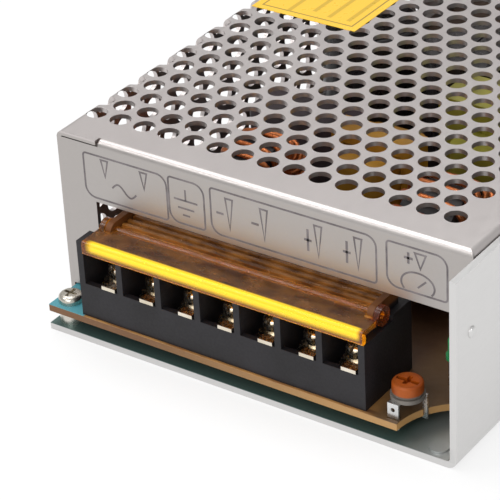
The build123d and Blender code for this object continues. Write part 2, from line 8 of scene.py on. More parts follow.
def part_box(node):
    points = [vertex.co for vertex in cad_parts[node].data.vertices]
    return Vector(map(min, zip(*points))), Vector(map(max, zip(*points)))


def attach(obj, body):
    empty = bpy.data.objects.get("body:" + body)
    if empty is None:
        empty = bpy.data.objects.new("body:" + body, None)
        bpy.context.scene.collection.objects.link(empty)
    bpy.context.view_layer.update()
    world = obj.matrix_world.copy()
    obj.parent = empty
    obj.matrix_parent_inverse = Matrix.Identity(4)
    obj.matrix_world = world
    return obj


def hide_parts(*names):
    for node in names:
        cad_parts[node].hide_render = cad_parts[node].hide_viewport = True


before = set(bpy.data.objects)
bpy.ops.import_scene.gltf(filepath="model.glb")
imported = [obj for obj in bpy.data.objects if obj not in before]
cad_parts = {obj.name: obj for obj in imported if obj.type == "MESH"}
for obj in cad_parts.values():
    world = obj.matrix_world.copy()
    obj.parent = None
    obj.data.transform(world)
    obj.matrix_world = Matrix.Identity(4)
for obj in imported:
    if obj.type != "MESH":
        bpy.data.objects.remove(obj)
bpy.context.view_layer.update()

# Base and cover: two aluminium sheets, rolled, punched and folded, left bare. The rolls leave fine
# lines along the sheet, and handling leaves a few faint smudges.
MM = 0.001
CLOUD_SPAN = (0.35, 0.65)
GRAIN_SPAN = (0.3, 0.7)
GRAIN_DETAIL = 3.0
CLOUD_DETAIL = 2.0
RELIEF_DEPTH = 0.02 * MM


def linear(code):
    """The linear colour of a six-digit display colour, by the display's standard curve."""
    values = np.array([int(code[i:i + 2], 16) for i in (0, 2, 4)]) / 255
    curved = np.where(values <= 0.04045, values / 12.92, ((values + 0.055) / 1.055) ** 2.4)
    return (*(float(v) for v in curved), 1.0)


def new_effect(name, inputs, outputs):
    """An empty node group with the given inputs and outputs, and its two end nodes."""
    group = bpy.data.node_groups.new(name, "ShaderNodeTree")
    for label, kind, value in inputs:
        socket = group.interface.new_socket(label, in_out="INPUT", socket_type=kind)
        socket.default_value = value
    for label, kind in outputs:
        group.interface.new_socket(label, in_out="OUTPUT", socket_type=kind)
    return group, group.nodes.new("NodeGroupInput"), group.nodes.new("NodeGroupOutput")


def grain_effect():
    """Noise stretched along an axis. Fine is its close grain, from 0 to 1, and Broad its wide
    cloud."""
    group, start, end = new_effect(
        "grain",
        [("Stretch", "NodeSocketVector", (1.0, 1.0, 1.0)), ("Scale", "NodeSocketFloat", 400.0),
         ("Cloud Scale", "NodeSocketFloat", 20.0)],
        [("Fine", "NodeSocketFloat"), ("Broad", "NodeSocketFloat")])
    where = group.nodes.new("ShaderNodeTexCoord")
    stretch = group.nodes.new("ShaderNodeVectorMath")
    stretch.operation = "MULTIPLY"
    group.links.new(where.outputs["Object"], stretch.inputs[0])
    group.links.new(start.outputs["Stretch"], stretch.inputs[1])
    for label, scale, detail in (
            ("Fine", "Scale", GRAIN_DETAIL), ("Broad", "Cloud Scale", CLOUD_DETAIL)):
        noise = group.nodes.new("ShaderNodeTexNoise")
        noise.inputs["Detail"].default_value = detail
        group.links.new(stretch.outputs[0], noise.inputs["Vector"])
        group.links.new(start.outputs[scale], noise.inputs["Scale"])
        group.links.new(noise.outputs["Fac"], end.inputs[label])
    return group


grain = grain_effect()


def ramp(tree, value, low, high, start=0.0, end=1.0):
    """Takes a value from the span low to high over to the span start to end, held at both ends."""
    node = tree.nodes.new("ShaderNodeMapRange")
    spans = {"From Min": low, "From Max": high, "To Min": start, "To Max": end}
    for label, number in spans.items():
        node.inputs[label].default_value = number
    tree.links.new(value, node.inputs["Value"])
    return node.outputs["Result"]


def two_tone(tree, factor, first, second):
    """A colour that goes from the first to the second as the factor goes from 0 to 1."""
    node = tree.nodes.new("ShaderNodeMix")
    node.data_type = "RGBA"
    tree.links.new(factor, node.inputs["Factor"])
    node.inputs["B"].default_value = second
    if isinstance(first, bpy.types.NodeSocket):
        tree.links.new(first, node.inputs["A"])
    else:
        node.inputs["A"].default_value = first
    return node.outputs["Result"]


def finish(name, color, roughness, metallic=0.0, **sockets):
    """A material with one Principled shader, its sockets set to plain values."""
    material = bpy.data.materials.new(name)
    material.use_nodes = True
    shader = material.node_tree.nodes["Principled BSDF"]
    shader.inputs["Base Color"].default_value = linear(color)
    shader.inputs["Roughness"].default_value = roughness
    shader.inputs["Metallic"].default_value = metallic
    for label, value in sockets.items():
        shader.inputs[label.replace("_", " ")].default_value = value
    return material


def texture(material, color_pair, rough_pair, stretch=(1, 1, 1), scale=400.0, cloud=20.0, bump=0.0):
    """Varies the finish: the cloud moves the colour between two, the grain the roughness and
    height."""
    tree = material.node_tree
    shader = tree.nodes["Principled BSDF"]
    pattern = tree.nodes.new("ShaderNodeGroup")
    pattern.node_tree = grain
    pattern.inputs["Stretch"].default_value = stretch
    pattern.inputs["Scale"].default_value = scale
    pattern.inputs["Cloud Scale"].default_value = cloud
    spread = ramp(tree, pattern.outputs["Broad"], *CLOUD_SPAN)
    tint = two_tone(tree, spread, linear(color_pair[0]), linear(color_pair[1]))
    tree.links.new(tint, shader.inputs["Base Color"])
    rough = ramp(tree, pattern.outputs["Fine"], *GRAIN_SPAN, *rough_pair)
    tree.links.new(rough, shader.inputs["Roughness"])
    if bump:
        relief = tree.nodes.new("ShaderNodeBump")
        relief.inputs["Distance"].default_value = RELIEF_DEPTH
        relief.inputs["Strength"].default_value = bump
        tree.links.new(pattern.outputs["Fine"], relief.inputs["Height"])
        tree.links.new(relief.outputs["Normal"], shader.inputs["Normal"])
    return material


def wear(material, *names):
    """Puts a material on CAD nodes."""
    for name in names:
        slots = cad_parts[name].data.materials
        slots.clear()
        slots.append(material)


def dress(names, material_name, color, roughness, color_pair, rough_pair, metallic=0.0, **pattern):
    """A textured finish of its own, put on CAD nodes."""
    material = finish(material_name, color, roughness, metallic)
    texture(material, color_pair, rough_pair, **pattern)
    wear(material, *names)
    return material


ROLLED = dict(metallic=1.0, stretch=(1.0, 0.25, 1.0), scale=1400.0, cloud=18.0, bump=0.06)
sheet_metal = dress(["cover"], "rolled_sheet", "d6d5d3", 0.38, ("c6bfbd", "cfc9c7"), (0.36, 0.42),
                    **ROLLED)
base_metal = dress(["base_chassis"], "base_sheet", "d6d5d3", 0.38, ("cdcbca", "d6d5d4"),
                   (0.36, 0.42), **ROLLED)

# Insulating sheet under the board: thin dark plastic film, cut out round the standoffs and laid
# loose on the base.
dress(["insulation_sheet"], "insulating_film", "3a3a3c", 0.35, ("343436", "424244"), (0.3, 0.42),
      cloud=40.0)

# The base's ledge under the board: part of the folded sheet. Its upper face lies in the board's
# shadow and mirrors the dark underside of the board. It clears towards the raised dimple at the
# right.
base_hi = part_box("base_chassis")[1]
board_lo, board_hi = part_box("circuit_board")
LEDGE_TOP = 1.5 * MM
BOARD_T = 1.6 * MM
EDGE_SOFT = 0.1 * MM
SHADOW_SOFT = 0.6 * MM
CLEAR_MIDDLE = 7.0 * MM
CLEAR_WIDTH = 14.0 * MM
SHADED_METALLIC = 0.35


def combined(tree, operation, first, second):
    """One math node on two values. The second may be a number."""
    node = tree.nodes.new("ShaderNodeMath")
    node.operation = operation
    tree.links.new(first, node.inputs[0])
    if isinstance(second, float):
        node.inputs[1].default_value = second
    else:
        tree.links.new(second, node.inputs[1])
    return node.outputs[0]


def above(tree, axis, level, width):
    """A mask that goes from 0 to 1 as a place passes a level along an axis, over a given width. A
    width below 0 turns it round."""
    where = tree.nodes.new("ShaderNodeTexCoord")
    parts = tree.nodes.new("ShaderNodeSeparateXYZ")
    tree.links.new(where.outputs["Object"], parts.inputs[0])
    return ramp(tree, parts.outputs[axis], level - width / 2, level + width / 2)


def within(tree, *limits):
    """The product of several masks. Each limit is a mask, or the axis, level and width of one."""
    product = None
    for limit in limits:
        mask = above(tree, *limit) if isinstance(limit, tuple) else limit
        product = combined(tree, "MULTIPLY", product, mask) if product else mask
    return product


def overlay(material, color, *limits):
    """Lays a colour over a material's own within some limits, and returns their mask."""
    tree = material.node_tree
    target = tree.nodes["Principled BSDF"].inputs["Base Color"]
    mask = within(tree, *limits)
    tree.links.new(two_tone(tree, mask, target.links[0].from_socket, linear(color)), target)
    return mask


shadow = overlay(base_metal, "4c6460",
                 ("Z", LEDGE_TOP - EDGE_SOFT, EDGE_SOFT), ("Z", board_hi.z - BOARD_T, -SHADOW_SOFT),
                 ("X", base_hi.x - CLEAR_MIDDLE, -CLEAR_WIDTH))
metal_tree = base_metal.node_tree
metal_tree.links.new(ramp(metal_tree, shadow, 0.0, 1.0, 1.0, SHADED_METALLIC),
                     metal_tree.nodes["Principled BSDF"].inputs["Metallic"])

# The cover's front face: folded down from its top. Painted shade: the face, and the lower part of
# the fold above it, is laid a shade darker than the top, as it stands away from the light.
cover_lo, cover_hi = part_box("cover")
FACE_Y = cover_lo.y
FACE_DEPTH = 0.8 * MM
FACE_SOFT = 0.5 * MM
FOLD_DROP = 0.4 * MM
# Painted shade on the front face and on the lower part of the fold.
overlay(sheet_metal, "b3aeab",
        ("Y", FACE_Y + FACE_DEPTH, -FACE_SOFT), ("Z", cover_hi.z - FOLD_DROP, -FOLD_DROP))

# Circuit board: brown paper laminate, sawn to size. Painted shade darkens it under the cover, along
# the foot of the block and beside the block, and darkens its sawn edge under the block. A
# blue-green mask covers its front left end, and the sawn edge is paler than the top.
block_lo, block_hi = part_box("terminal_block")
COVERED_FROM = 9.0 * MM
COVERED_FADE = 8.0 * MM
FOOT_DEPTH = 1.0 * MM
FOOT_SOFT = 0.4 * MM
MASK_WIDTH = 9.0 * MM
MASK_DEPTH = 14.0 * MM
MASK_SOFT = (0.4 * MM, 1.0 * MM)
BESIDE_GAP = 1.0 * MM
BESIDE_FADE = 4.0 * MM
EDGE_BELOW = 0.12 * MM
EDGE_SHADE_X = 40.0 * MM
EDGE_SHADE_WIDTH = 50.0 * MM
laminate = dress(["circuit_board"], "laminate", "a87444", 0.5, ("8c6034", "ae8048"), (0.4, 0.55),
                 scale=700.0, cloud=160.0)
# Painted shade: the board darkens further in, under the cover.
overlay(laminate, "4c3320", ("Y", block_lo.y + COVERED_FROM, COVERED_FADE))
# Painted shadow along the foot of the block.
overlay(laminate, "5a3416",
        ("Y", block_lo.y, FOOT_SOFT), ("Y", block_lo.y + FOOT_DEPTH, -FOOT_SOFT))
overlay(laminate, "47909c",
        ("X", board_lo.x + MASK_WIDTH, -MASK_SOFT[0]),
        ("Y", block_lo.y + MASK_DEPTH, -MASK_SOFT[1]))
# Painted shade on the board to the right of the block.
overlay(laminate, "5e452a", ("X", block_hi.x + BESIDE_GAP, BESIDE_FADE))
edge = overlay(laminate, "ac8450", ("Z", board_hi.z - EDGE_BELOW, -EDGE_SOFT))
# Painted shade: the sawn edge darker towards the left, under the block.
overlay(laminate, "6e4a28", edge, ("X", block_lo.x + EDGE_SHADE_X, -EDGE_SHADE_WIDTH))

# Screws and standoffs: zinc plated steel, turned and tumbled. They hold the board on the base and
# the cover on its two sides.
def several(stem, count):
    """The names of numbered nodes, from 1 up."""
    return [f"{stem}_{number}" for number in range(1, count + 1)]


dress(several("board_screw", 4) + several("cover_screw", 4) + several("board_standoff", 4),
      "zinc_plate", "cfcac0", 0.3, ("c4beb2", "dad6ce"), (0.22, 0.38), metallic=1.0, scale=1500.0,
      cloud=200.0)

# Terminal block: black moulded plastic, matt, soldered to the board by its contacts. Its top, with
# the two hinge arms, has painted light: a brown amber, the colour that the guard and the strip
# round them cast on it.
ARM_DROP = 2.2 * MM
ARM_FADE = 0.8 * MM
ARM_SIDE = 0.2 * MM
flap_lo, flap_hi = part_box("terminal_flap")
moulding = finish("black_moulding", "1a181b", 0.5, Specular_IOR_Level=0.35)
texture(moulding, ("171518", "1f1d21"), (0.44, 0.58), scale=1800.0, cloud=120.0, bump=0.2)
# Painted amber light on the top of the block and its hinge arms.
overlay(moulding, "6a3e18",
        ("Z", block_hi.z - ARM_DROP, ARM_FADE), ("X", flap_lo.x + ARM_SIDE, ARM_SIDE))
wear(moulding, "terminal_block")

# Contacts, clamp plates and terminal screws: nickel on brass, stamped and turned. Each screw holds
# its plate down on the contact bar.
WAYS = 7
clamped = several("clamp_plate", WAYS) + several("terminal_screw", WAYS)
nickel = dress(["terminal_contacts", *clamped], "nickel_plate", "e0d6c4", 0.24,
               ("d6cbb6", "ebe3d4"), (0.18, 0.32), metallic=1.0, scale=1200.0, cloud=150.0)

# Contact tongues: the front end of each contact bar, bright nickel. It is bent up behind the
# block's front wall and out over its sill.
TONGUE_T = 0.8 * MM
TONGUE_W = 3.3 * MM
TONGUE_SHIFT = 1.8 * MM
SILL_Z = board_hi.z + 7.8 * MM
SEAT_TOP = board_hi.z + 6.0 * MM
WALL_BACK = block_lo.y + 1.35 * MM
CONTACT_LAP = 0.05 * MM
SILL_LAP = 0.1 * MM
contact_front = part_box("terminal_contacts")[0].y


def add_piece(name, vertices, faces, material, body, slot, smooth=False):
    """A mesh object from points and quads, faced outwards, that rides on a body. The sum of the
    quads' signed volumes about the origin tells which way they face."""
    points, quads = np.asarray(vertices, float).reshape(-1, 3), np.asarray(faces)
    a, b, c, d = (points[quads[:, corner]] for corner in range(4))
    if (a * (np.cross(b, c) + np.cross(c, d))).sum() < 0:
        quads = quads[:, ::-1]
    mesh = bpy.data.meshes.new(name)
    mesh.from_pydata(points.tolist(), [], quads.tolist())
    mesh.polygons.foreach_set("use_smooth", [smooth] * len(mesh.polygons))
    mesh.materials.append(material)
    mesh.update()
    made = bpy.data.objects.new(name, mesh)
    bpy.context.scene.collection.objects.link(made)
    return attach(made, body)


def grid_faces(rows, columns, closed_rows, closed_columns):
    """The quads of a grid of points, joined round where a direction is closed."""
    index = np.arange(rows * columns).reshape(rows, columns)
    if closed_rows:
        index = np.vstack([index, index[:1]])
    if closed_columns:
        index = np.hstack([index, index[:, :1]])
    corners = [index[:-1, :-1], index[:-1, 1:], index[1:, 1:], index[1:, :-1]]
    return np.stack(corners, -1).reshape(-1, 4)


def unit(vectors):
    """Each row of an array, divided by its length."""
    return vectors / np.linalg.norm(vectors, axis=1)[:, None]


def bent_strip(line, thickness, x0, x1):
    """A strip bent along a path in Y and Z: the path moved half the thickness to each side, from
    x0 to x1."""
    ahead = unit(np.diff(line, axis=0))
    first, last = np.vstack([ahead[:1], ahead]), np.vstack([ahead, ahead[-1:]])
    normal = unit(np.stack([-(first + last)[:, 1], (first + last)[:, 0]], -1))
    square = np.stack([-first[:, 1], first[:, 0]], -1)
    moved = normal * (thickness / 2 / (normal * square).sum(1))[:, None]
    corners = [np.column_stack([np.full(len(line), x), line + side * moved])
               for x, side in ((x0, 1), (x1, 1), (x1, -1), (x0, -1))]
    points = np.stack(corners, 1)
    ends = [[3, 2, 1, 0], [4 * len(line) - 4 + k for k in range(4)]]
    return points, np.concatenate([grid_faces(len(line), 4, False, True), ends])


bend_y = WALL_BACK + TONGUE_T / 2
tongue_z = SILL_Z + TONGUE_T / 2
tongue_line = np.array([(contact_front - CONTACT_LAP, SEAT_TOP), (bend_y, SEAT_TOP),
                        (bend_y, tongue_z), (block_lo.y - SILL_LAP, tongue_z)])
for number in range(1, WAYS + 1):
    plate_lo, plate_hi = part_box(f"clamp_plate_{number}")
    middle_x = (plate_lo.x + plate_hi.x) / 2 + TONGUE_SHIFT
    strip = bent_strip(tongue_line, TONGUE_T, middle_x - TONGUE_W / 2, middle_x + TONGUE_W / 2)
    add_piece(f"contact_tongue_{number}", *strip, nickel, "chassis", "terminal_metal")

# Guard and strip: amber plastic, moulded. The guard turns on two pins. Its thick front rail has a
# painted glow: its top is laid in bright yellow and gives off a yellow light of its own. Its ends
# and edges stay orange.
HINGE_DEPTH = 3.4 * MM
HINGE_FADE = 1.2 * MM
PIN_LENGTH = 1.4 * MM
PIN_SOFT = 0.6 * MM
PIN_DEPTH = 6.0 * MM
PIN_FADE = 1.0 * MM
RAIL_DEPTH = 1.3 * MM
RAIL_SOFT = 0.3 * MM
RAIL_BRIGHT = 3.4 * MM
RAIL_FADE = 1.0 * MM
RAIL_LEFT = 1.6 * MM
RAIL_RIGHT = 0.9 * MM
GLOW = 0.8
BLACK = (0.0, 0.0, 0.0, 1.0)


def amber_plastic(name, dark, light, clear):
    """Amber plastic with clouds of two tones, which stand for flow lines and what shimmers
    through."""
    material = finish(name, light, 0.12, Transmission_Weight=clear, IOR=1.49)
    return texture(material, (dark, light), (0.16, 0.3), stretch=(0.5, 1.0, 1.0), scale=500.0,
                   cloud=420.0)


guard = amber_plastic("amber_guard", "8a5220", "e09a48", 0.86)
overlay(guard, "e08a2a", ("Y", flap_hi.y - HINGE_DEPTH, HINGE_FADE))
rail = overlay(guard, "d07a1c", ("Y", flap_lo.y + RAIL_DEPTH, -RAIL_SOFT))
overlay(guard, "a8480c",
        ("X", flap_hi.x - PIN_LENGTH, PIN_SOFT), ("Y", flap_hi.y - PIN_DEPTH, PIN_FADE))
# Painted glow: bright yellow on the top of the front rail.
bright = overlay(guard, "ffdc28", rail, ("Z", flap_hi.z - RAIL_BRIGHT, RAIL_FADE),
                 ("X", flap_lo.x + RAIL_LEFT, RAIL_LEFT),
                 ("X", flap_hi.x - RAIL_RIGHT, -RAIL_RIGHT))
# The painted glow also as light: yellow emission on the rail's top.
guard_shader = guard.node_tree.nodes["Principled BSDF"]
guard.node_tree.links.new(two_tone(guard.node_tree, bright, BLACK, linear("ffd21c")),
                          guard_shader.inputs["Emission Color"])
guard_shader.inputs["Emission Strength"].default_value = GLOW
wear(guard, "terminal_flap")
wear(amber_plastic("amber_strip", "7c4a20", "c8843c", 0.4), "guard_strip")

# Trimmer: an orange moulded rotor, pressed on a ceramic disc that stands on tinned legs. The rotor
# has a deeper orange dish with a cross slot, and a grey skirt.
DISH_R = 2.0 * MM
TONE_FADE = 0.3 * MM
SKIRT_SHARE = 0.5
rotor = finish("orange_rotor", "c05a20", 0.42, Specular_IOR_Level=0.25)
texture(rotor, ("8a3e10", "a04e16"), (0.35, 0.5), scale=1500.0, cloud=300.0)
rotor_lo, rotor_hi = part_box("trimmer_rotor")
rotor_tree = rotor.node_tree
spot = rotor_tree.nodes.new("ShaderNodeTexCoord")
reach = rotor_tree.nodes.new("ShaderNodeVectorMath")
reach.operation = "DISTANCE"
rotor_tree.links.new(spot.outputs["Object"], reach.inputs[0])
reach.inputs[1].default_value = (
    (rotor_lo.x + rotor_hi.x) / 2, (rotor_lo.y + rotor_hi.y) / 2, rotor_hi.z)
overlay(rotor, "a04a10",
        ramp(rotor_tree, reach.outputs["Value"], DISH_R + TONE_FADE, DISH_R))
overlay(rotor, "5c5650", ("Z", rotor_lo.z + SKIRT_SHARE * (rotor_hi.z - rotor_lo.z), -TONE_FADE))
wear(rotor, "trimmer_rotor")
dress(["trimmer_disc"], "trimmer_ceramic", "6b6560", 0.5, ("5f5a55", "7a746d"), (0.4, 0.6),
      scale=1500.0, cloud=300.0)
dress(["trimmer_legs", "indicator_leads"], "tinned_leg", "dcdcdc", 0.28, ("d0d0d0", "e6e6e6"),
      (0.22, 0.36), metallic=1.0, scale=1500.0, cloud=200.0)

# Indicator lamp: a lens of green tinted resin, cast round the ends of its two leads. It is unlit,
# so its colour comes from the resin alone.
wear(finish("green_lens", "3fae6c", 0.2, Transmission_Weight=0.3, IOR=1.5), "indicator_lens")

# Ring chokes: enamelled copper wire wound through a ring of sintered ferrite, turn beside turn. The
# wire is pulled tight over the ring, so that each turn is a square with round corners.
LINE_WIRE = 0.6 * MM
OUTPUT_WIRE = 0.75 * MM
CORE_BORE = 4.0 * MM
TURN_STEPS = 20
WIRE_SIDES = 8
CORNER_POWER = 0.5


def rounded(wave):
    """A wave between -1 and 1, made fuller: its size to a power below 1, with its own sign."""
    return np.sign(wave) * np.abs(wave) ** CORNER_POWER


def wound_wire(node, wire, material):
    """Wire wound once round a ring. Turn by turn the path goes round the ring's section, a square
    with rounded corners, while it moves on round the ring, and it closes on itself. The wire is a
    round tube: circles square to the path, whose sides follow the section's outward direction."""
    lo, hi = (np.array(corner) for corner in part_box(node))
    axis = int(np.argmin(hi - lo))
    first, second = (axis + 1) % 3, (axis + 2) % 3
    centre = (lo + hi) / 2
    outer = (hi - lo)[first] / 2 - wire
    half_width = (hi - lo)[axis] / 2 - wire
    inner = CORE_BORE + wire
    turns = int(2 * math.pi * inner / (2 * wire))
    steps = turns * TURN_STEPS
    t = np.arange(steps) / steps * 2 * math.pi
    across, along = rounded(np.cos(turns * t)), rounded(np.sin(turns * t))
    radius = (outer + inner) / 2 + (outer - inner) / 2 * across
    path = np.empty((steps, 3))
    path[:, axis] = centre[axis] + half_width * along
    path[:, first] = centre[first] + radius * np.cos(t)
    path[:, second] = centre[second] + radius * np.sin(t)
    out = np.empty((steps, 3))
    out[:, axis] = along
    out[:, first] = across * np.cos(t)
    out[:, second] = across * np.sin(t)
    ahead = unit(np.roll(path, -1, 0) - np.roll(path, 1, 0))
    out = unit(out - ahead * (out * ahead).sum(1)[:, None])
    beside = np.cross(ahead, out)
    angle = np.linspace(0, 2 * math.pi, WIRE_SIDES, endpoint=False)[None, :, None]
    tube = path[:, None] + wire * (out[:, None] * np.cos(angle) + beside[:, None] * np.sin(angle))
    made = add_piece(node + "_turns", tube, grid_faces(steps, WIRE_SIDES, True, True), material,
                     "chassis", "copper", smooth=True)
    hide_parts(node)


copper = dress(["line_choke_coil", "output_choke_coil"], "enamelled_copper", "b8683a", 0.3,
               ("b8602e", "d88450"), (0.24, 0.36), metallic=0.75, scale=800.0, cloud=120.0)
wound_wire("line_choke_coil", LINE_WIRE, copper)
wound_wire("output_choke_coil", OUTPUT_WIRE, copper)
dress(["line_choke_core", "output_choke_core"], "ferrite", "3a3a3c", 0.6, ("323234", "444446"),
      (0.5, 0.7), scale=1500.0, cloud=120.0)

# Transformers: windings on ferrite cores, under layers of plastic tape. The large one is wrapped in
# yellow tape and the small one in amber.
TAPED = dict(scale=600.0, cloud=80.0)
dress(["main_transformer_coil", "main_transformer_core"], "yellow_tape", "a8a04c", 0.35,
      ("8c8630", "a8a242"), (0.28, 0.42), **TAPED)
dress(["drive_transformer_coil", "drive_transformer_core"], "amber_tape", "b0782c", 0.35,
      ("a47422", "c4902e"), (0.28, 0.42), **TAPED)

# Capacitors and the small parts of the board: shrunk plastic sleeves, moulded cases, a dipped
# ceramic disc and a glass tube, all soldered by their leads.
dress(several("bulk_capacitor", 2) + several("output_capacitor", 3), "black_sleeve", "262426", 0.3,
      ("221f22", "2e2b2e"), (0.24, 0.36), scale=900.0, cloud=60.0)
dress(["line_capacitor"], "capacitor_case", "4a4044", 0.4, ("3c3438", "564b50"), (0.34, 0.48),
      scale=900.0, cloud=80.0)
dress(["safety_capacitor"], "blue_dip", "2c6aa0", 0.35, ("26608f", "3a78b0"), (0.3, 0.42),
      scale=900.0, cloud=120.0)
wear(finish("fuse_glass", "dfe6e6", 0.05, Transmission_Weight=0.9, IOR=1.5), "fuse")
dress(["bridge_rectifier", "control_chip"], "black_package", "262628", 0.5, ("202022", "303032"),
      (0.42, 0.58), scale=1200.0, cloud=80.0)

# Print on the cover's face: thin dark lines of baked ink. Each terminal group has its own frame and
# a plain sign. Places are in millimetres from the cover's left side and from the floor.
INK_T = 0.03 * MM
INK_W = 0.4 * MM
BOLD_W = 0.5 * MM
SHARPEST = 0.5
CURVE_STEPS = 40
ink = finish("ink", "3c3638", 0.55)
texture(ink, ("5f595b", "7a7476"), (0.5, 0.62), scale=900.0, cloud=300.0)


def rounded_outline(x0, x1, z0, z1, radii, steps=8):
    """A closed outline in X and Z: four quarter circles, from the lower left round to the right."""
    corners = ((x0, z0, 1, 1), (x1, z0, -1, 1), (x1, z1, -1, -1), (x0, z1, 1, -1))
    points = []
    for number, ((x, z, sx, sz), radius) in enumerate(zip(corners, radii)):
        angle = math.pi * (1 + number / 2) + np.linspace(0, math.pi / 2, steps)
        points.append(np.stack([x + sx * radius + radius * np.cos(angle),
                                z + sz * radius + radius * np.sin(angle)], -1))
    return np.concatenate(points)


def stroke(line, width, closed):
    """A flat raised line on the face: the path moved to each side along its normal, with a
    thickness. At a corner it is moved further, up to a limit, so that the line keeps its width."""
    ahead = np.roll(line, -1, 0) - line
    behind = line - np.roll(line, 1, 0)
    if not closed:
        ahead[-1], behind[0] = behind[-1], ahead[0]
    ahead, behind = unit(ahead), unit(behind)
    along = unit(ahead + behind)
    normal = np.stack([-along[:, 1], along[:, 0]], -1)
    square = np.stack([-ahead[:, 1], ahead[:, 0]], -1)
    spread = width / 2 / np.clip((normal * square).sum(1), SHARPEST, 1)
    section = []
    for side, y in ((1, FACE_Y), (1, FACE_Y - INK_T), (-1, FACE_Y - INK_T), (-1, FACE_Y)):
        moved = line + side * normal * spread[:, None]
        section.append(np.stack([moved[:, 0], np.full(len(line), y), moved[:, 1]], -1))
    faces = grid_faces(len(line), 4, closed, True)
    if not closed:
        ends = [[0, 1, 2, 3], [4 * len(line) - 1 - k for k in range(4)]]
        faces = np.concatenate([faces, ends])
    return np.stack(section, 1).reshape(-1, 3), faces[:, ::-1]


def print_on_face(name, strokes):
    """One piece of print, from several strokes: each a line, its width, and whether it closes."""
    vertices, faces, count = [], [], 0
    for line, width, closed in strokes:
        place = np.array([cover_lo.x, 0.0]) + np.asarray(line, float) * MM
        points, quads = stroke(place, width, closed)
        vertices.append(points)
        faces.append(quads + count)
        count += len(points)
    add_piece(name, np.concatenate(vertices), np.concatenate(faces), ink, "chassis",
              "chassis_metal")


def sign(x, z, width, height):
    """A minus, or a plus where a height is given."""
    lines = [((x - width / 2, z), (x + width / 2, z))]
    if height:
        lines.append(((x, z - height / 2), (x, z + height / 2)))
    return [(line, BOLD_W, False) for line in lines]


def pointer(x, low, high, width):
    """A slender triangle that points down to its terminal."""
    return [(np.array([(x, low), (x + width / 2, high), (x - width / 2, high)]), INK_W, True)]


FRAMES = ((6.45, 27.0, 28.76, 38.7), (27.5, 36.0, 29.04, 39.0), (37.58, 75.41, 29.15, 39.25),
          (77.7, 90.75, 29.74, 39.38))
WIDE_CORNER = 2.4
TIGHT_CORNER = 0.7
radii = (WIDE_CORNER, TIGHT_CORNER, WIDE_CORNER, TIGHT_CORNER)
print_on_face("print_frames", [(rounded_outline(*box, radii), INK_W, True) for box in FRAMES])

EARTH_X = 31.54
EARTH_TOP = 36.9
EARTH_BARS = ((2.85, 34.4), (1.96, 32.6), (0.88, 31.1))
earth = [((EARTH_X, EARTH_TOP), (EARTH_X, EARTH_BARS[0][1]))]
earth += [((EARTH_X - half, z), (EARTH_X + half, z)) for half, z in EARTH_BARS]
print_on_face("print_earth", [(line, INK_W, False) for line in earth])

WAVE_X, WAVE_Z = 16.3, 32.2
WAVE_STRETCH = 0.95
WAVE_HEIGHT = 1.1
wave = np.linspace(0, 2 * math.pi, CURVE_STEPS)
sine = np.stack([WAVE_X + (wave - math.pi) * WAVE_STRETCH, WAVE_Z + WAVE_HEIGHT * np.sin(wave)], -1)
print_on_face("print_wave", [(sine, INK_W, False)])

MAINS_POINTERS = ((11.7, 34.2, 38.0), (21.4, 34.1, 37.9))
POINTER_W = 1.7
POINTER_Z = (30.9, 37.8)
SIGN_Z = 34.1
SIGN_W = 1.7
WAY_SIGNS = ((39.75, 42.0, 0.0), (48.0, 50.1, 0.0), (60.14, 62.5, 4.8), (68.9, 71.4, 4.8))
print_on_face("print_pointers",
              [mark for place in MAINS_POINTERS for mark in pointer(*place, POINTER_W)])
for number, (x, point_x, height) in enumerate(WAY_SIGNS, start=1):
    marks = sign(x, SIGN_Z, SIGN_W, height) + pointer(point_x, *POINTER_Z, POINTER_W)
    print_on_face(f"print_sign_{number}", marks)

DIAL_X, DIAL_Z = 84.4, 31.6
DIAL_WIDTH, DIAL_HEIGHT = 3.6, 2.6
DIAL_ARC = (math.radians(-35), math.radians(215))
HAND = ((84.4, 31.0), (86.2, 32.8))
DIAL_SIGN = (82.4, 36.9, 1.9, 2.4)
DIAL_POINTER = (85.0, 35.2, 38.4, 2.4)
turn = np.linspace(*DIAL_ARC, CURVE_STEPS)
dial = np.stack([DIAL_X + DIAL_WIDTH * np.cos(turn), DIAL_Z + DIAL_HEIGHT * np.sin(turn)], -1)
marks = sign(*DIAL_SIGN) + pointer(*DIAL_POINTER)
marks += [(dial, INK_W, False), (HAND, INK_W, False)]
print_on_face("print_dial", marks)

# Pip on the right wall, near its front edge: a small shiny dome, set out in the sheet with a punch.
# It is a quarter circle turned round, with its foot sunk in the wall.
PIP_R = 1.2 * MM
PIP_H = 0.5 * MM
PIP_FOOT = 0.2 * MM
PIP_SIDES = 24
PIP_RINGS = 6
PIP_AHEAD = 3.7 * MM
PIP_Z = 27.9 * MM
turn = np.linspace(0, 2 * math.pi, PIP_SIDES, endpoint=False)
rise = np.arange(PIP_RINGS) / PIP_RINGS * math.pi / 2
pip_x = np.concatenate([[-PIP_FOOT], PIP_H * np.sin(rise)])
pip_r = np.concatenate([[PIP_R], PIP_R * np.cos(rise)])
rings = np.stack([(base_hi.x + pip_x)[:, None] + 0 * turn,
                  FACE_Y - PIP_AHEAD + pip_r[:, None] * np.cos(turn),
                  PIP_Z + pip_r[:, None] * np.sin(turn)], -1)
last = PIP_SIDES - 1
caps = [[first + k, first + k + 1, first + last - k - 1, first + last - k]
        for first in (0, PIP_SIDES * PIP_RINGS) for k in range(PIP_SIDES // 2 - 1)]
pip_faces = np.concatenate([grid_faces(len(rings), PIP_SIDES, False, True), caps])
add_piece("wall_pip", rings, pip_faces, base_metal, "chassis", "chassis_metal", smooth=True)

